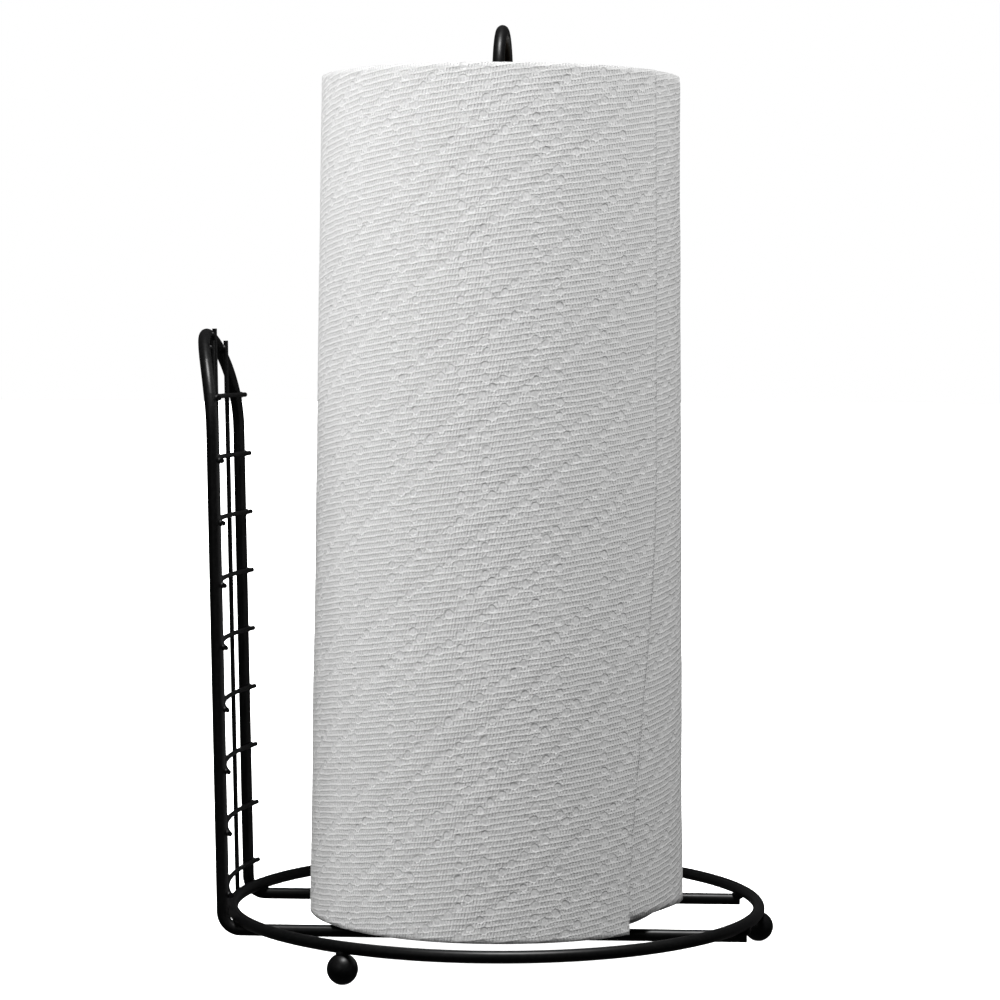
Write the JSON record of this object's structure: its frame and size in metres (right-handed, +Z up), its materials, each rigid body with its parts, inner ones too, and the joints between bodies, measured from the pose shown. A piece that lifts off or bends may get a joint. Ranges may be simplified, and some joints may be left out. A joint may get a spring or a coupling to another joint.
{
  "type": "paper towel holder",
  "caption": "Counter stand of welded black wire: a ring on ball feet, a looped centre post and a tall arched guard with a fine grid, holding a full paper roll.",
  "frame": {"origin": "on the floor under the ring's axis, which is also the roll's axis", "axes": "+Z up along the post, -X towards the tall guard, Y across the two rails"},
  "size_m": [0.1943, 0.182, 0.3075],
  "materials": {
    "coated_wire": "satin",
    "cardboard": "matte",
    "paper": "matte"
  },
  "bodies": {
    "holder": {"base_ring": "coated_wire", "guard_frame": "coated_wire", "post_loop": "coated_wire", "upright_front": "coated_wire", "upright_middle": "coated_wire", "upright_back": "coated_wire", "cross_wire_1": "coated_wire", "cross_wire_2": "coated_wire", "cross_wire_3": "coated_wire", "cross_wire_4": "coated_wire", "cross_wire_5": "coated_wire", "cross_wire_6": "coated_wire", "cross_wire_7": "coated_wire", "cross_wire_8": "coated_wire", "cross_wire_9": "coated_wire", "foot_right": "coated_wire", "foot_back": "coated_wire", "foot_front": "coated_wire"},
    "tube": {"roll_core": "cardboard"},
    "towel": {"towel_roll": "paper", "last_sheet": "paper"}
  },
  "joints": [
    {"name": "roll_lift", "type": "slide", "parent": "holder", "child": "tube", "axis": [0, 0, 1], "range_m": [0, 0.31]},
    {"name": "roll_spin", "type": "hinge", "parent": "tube", "child": "towel", "pos_m": [0, 0, 0.15], "axis": [0, 0, 1], "continuous": true}
  ]
}
